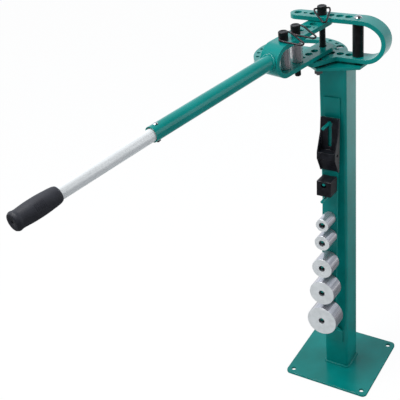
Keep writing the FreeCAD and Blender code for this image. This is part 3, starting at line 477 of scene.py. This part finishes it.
def weld_bead(name, path, radius, pose, body, stands_for, seed):
    """A closed run of weld along a path of points."""
    chance = random.Random(seed)
    curve = bpy.data.curves.new(name, "CURVE")
    curve.dimensions = "3D"
    curve.bevel_depth = radius
    curve.bevel_resolution = 5
    walked = evenly(path, STEP)
    spline = curve.splines.new("POLY")
    spline.points.add(len(walked) - 1)
    spline.use_cyclic_u = True
    for i, (point, spot) in enumerate(zip(spline.points, walked)):
        point.co = (*spot, 1.0)
        point.radius = SWELLS[i % len(SWELLS)] + chance.uniform(-0.02, 0.02)
    holder = bpy.data.objects.new(name + "_path", curve)
    mesh = bpy.data.meshes.new_from_object(holder)
    bm = bmesh.new()
    bm.from_mesh(mesh)
    bpy.data.objects.remove(holder)
    bpy.data.curves.remove(curve)
    bpy.data.meshes.remove(mesh)
    settle(bm, name, pose, GREEN, body, stands_for)


def saddle():
    """The line where the socket tube meets the round outside of the bracket's bend."""
    centre = LEVER_BEND_AT - LEVER_MOUTH / 2
    points = []
    for i in range(72):
        turn = math.tau * i / 72
        height = SOCKET_UP + SOCKET_OD / 2 * math.cos(turn)
        out = centre + math.sqrt((LEVER_H / 2) ** 2 - height ** 2)
        points.append(Vector((out, SOCKET_OD / 2 * math.sin(turn), height)))
    return points


UPRIGHT = Matrix.Identity(4)
foot_path = rounded_square(POST_SIDE / 2 + FOOT_BEAD_OUT, POST_CORNER_R + FOOT_BEAD_OUT,
                           BASE_T + FOOT_BEAD_OUT)
head_path = rounded_square(POST_SIDE / 2 + HEAD_BEAD_OUT, POST_CORNER_R + HEAD_BEAD_OUT,
                           POST_TOP - HEAD_BEAD_OUT)
weld_bead("post_foot_bead", foot_path, FOOT_BEAD_R, UPRIGHT, "stand", "foot_weld", 3)
weld_bead("post_head_bead", head_path, HEAD_BEAD_R, UPRIGHT, "stand", "head_weld", 5)
weld_bead("socket_bead", saddle(), SOCKET_BEAD_R, LEVER_FRAME, "lever", "lever_weld", 7)


# Floor and studio
WHITE = srgb("#ffffff")
# The share of the floor's look that takes no shadow
SHADOWLESS = 0.94
# Along the floor, away from the camera's place at the photo's view
AWAY = (-0.57, 0.82, 0.0)


def floor_material():
    """Matte white paper. The camera sees it white, with a trace of the shadow. In reflections it
    is white far behind, and its glow is painted darker in front, a painted shade."""
    material, tree, place = new_material("white paper floor")
    ray = add(tree, "LightPath").outputs
    glossy = add(tree, "Math", {0: ray["Is Glossy Ray"], 1: ray["Is Transmission Ray"]},
                 operation="MAXIMUM").outputs[0]
    seen = add(tree, "Math", {0: ray["Is Camera Ray"], 1: glossy}, operation="MAXIMUM").outputs[0]
    share = add(tree, "Math", {0: seen, 1: SHADOWLESS}, operation="MULTIPLY").outputs[0]
    paper = add(tree, "BsdfPrincipled", {"Base Color": srgb("#f4f4f4"), "Roughness": 0.95,
                                         "Specular IOR Level": 0.0}).outputs[0]
    back = add(tree, "VectorMath", {0: place, 1: AWAY}, operation="DOT_PRODUCT").outputs["Value"]
    # Painted shade: in reflections the floor's glow fades from white far behind to near black in front
    far = add(tree, "MapRange", {"Value": back, "From Min": 0.0, "From Max": 1.25, "To Min": 0.03,
                                 "To Max": 1.0}, interpolation_type="SMOOTHSTEP").outputs[0]
    strength = add(tree, "Mix", {0: glossy, 2: 1.0, 3: far}).outputs[0]
    white = add(tree, "Emission", {"Color": WHITE, "Strength": strength}).outputs[0]
    both = add(tree, "MixShader", {0: share, 1: paper, 2: white}).outputs[0]
    add(tree, "OutputMaterial", {"Surface": both})
    return material


def paper_floor():
    """A flat square of floor, wide enough to pass every edge of the picture."""
    bm = bmesh.new()
    bmesh.ops.create_grid(bm, x_segments=1, y_segments=1, size=20.0,
                          matrix=Matrix.Translation((0, 0, -0.0002)))
    mesh = bpy.data.meshes.new("floor")
    bm.to_mesh(mesh)
    bm.free()
    mesh.materials.append(floor_material())
    floor = bpy.data.objects.new("floor", mesh)
    bpy.context.scene.collection.objects.link(floor)


paper_floor()


def studio_world():
    """A white room for the camera. It lights the piece softly from all round, a little less from
    the photo's side. Reflections show a white wall behind, dimmer higher up, and a dark room in
    front."""
    world = bpy.data.worlds.new("studio")
    bpy.context.scene.world = world
    world.use_nodes = True
    tree = world.node_tree
    tree.nodes.clear()
    way = add(tree, "TexCoord").outputs["Generated"]
    back = add(tree, "VectorMath", {0: way, 1: AWAY}, operation="DOT_PRODUCT").outputs["Value"]
    light = add(tree, "MapRange", {"Value": back, "From Min": -0.85, "From Max": 0.0, "To Min": 0.35,
                                   "To Max": 0.95}, interpolation_type="SMOOTHSTEP").outputs[0]
    wall = add(tree, "MapRange", {"Value": back, "From Min": 0.1, "From Max": 0.6, "To Min": 0.12,
                                  "To Max": 1.15}, interpolation_type="SMOOTHSTEP").outputs[0]
    height = add(tree, "SeparateXYZ", {0: way}).outputs["Z"]
    under = add(tree, "MapRange", {"Value": height, "From Min": 0.42, "From Max": 0.65, "To Min": 1.0,
                                   "To Max": 0.6}, interpolation_type="SMOOTHSTEP").outputs[0]
    shine = add(tree, "Math", {0: wall, 1: under}, operation="MULTIPLY").outputs[0]
    ray = add(tree, "LightPath").outputs
    level = add(tree, "Mix", {0: ray["Is Glossy Ray"], 2: light, 3: shine}).outputs[0]
    room = add(tree, "Background", {"Color": srgb("#eff6fd"), "Strength": level}).outputs[0]
    plain = add(tree, "Background", {"Color": WHITE, "Strength": 1.0}).outputs[0]
    both = add(tree, "MixShader", {0: ray["Is Camera Ray"], 1: room, 2: plain}).outputs[0]
    add(tree, "OutputWorld", {"Surface": both})


studio_world()


def soft_box(name, place, aim, size, power):
    """A plain white area lamp."""
    data = bpy.data.lights.new(name, "AREA")
    data.shape = "RECTANGLE"
    data.size, data.size_y = size
    data.energy = power
    lamp = bpy.data.objects.new(name, data)
    lamp.location = place
    lamp.rotation_euler = (Vector(aim) - Vector(place)).to_track_quat("-Z", "Y").to_euler()
    bpy.context.scene.collection.objects.link(lamp)


soft_box("key", (-0.7, -1.0, 2.6), (0, 0, 0.75), (1.0, 1.0), 42)
soft_box("side", (2.2, 0.6, 1.5), (0, 0, 0.6), (1.2, 1.8), 7)

# The camera of the photograph
AZIMUTH = math.radians(34.68)
ELEVATION = math.radians(30.75)
ROLL = math.radians(-6.52)
CAMERA_PLACE = (0.6812, -1.5712, 1.5487)
LENS = 73.797

forward = Vector((-math.sin(AZIMUTH) * math.cos(ELEVATION), math.cos(AZIMUTH) * math.cos(ELEVATION),
                  -math.sin(ELEVATION)))
level = Vector((math.cos(AZIMUTH), math.sin(AZIMUTH), 0))
upright = level.cross(forward)
right = level * math.cos(ROLL) + upright * math.sin(ROLL)
up = upright * math.cos(ROLL) - level * math.sin(ROLL)
camera_data = bpy.data.cameras.new("camera")
camera_data.sensor_width = 36
camera_data.lens = LENS
camera_data.clip_end = 100
camera = bpy.data.objects.new("camera", camera_data)
facing = Matrix((right, up, -forward)).transposed().to_4x4()
camera.matrix_world = Matrix.Translation(CAMERA_PLACE) @ facing
bpy.context.scene.collection.objects.link(camera)
bpy.context.scene.camera = camera
bpy.context.scene.view_settings.view_transform = "Standard"

bpy.context.view_layer.update()
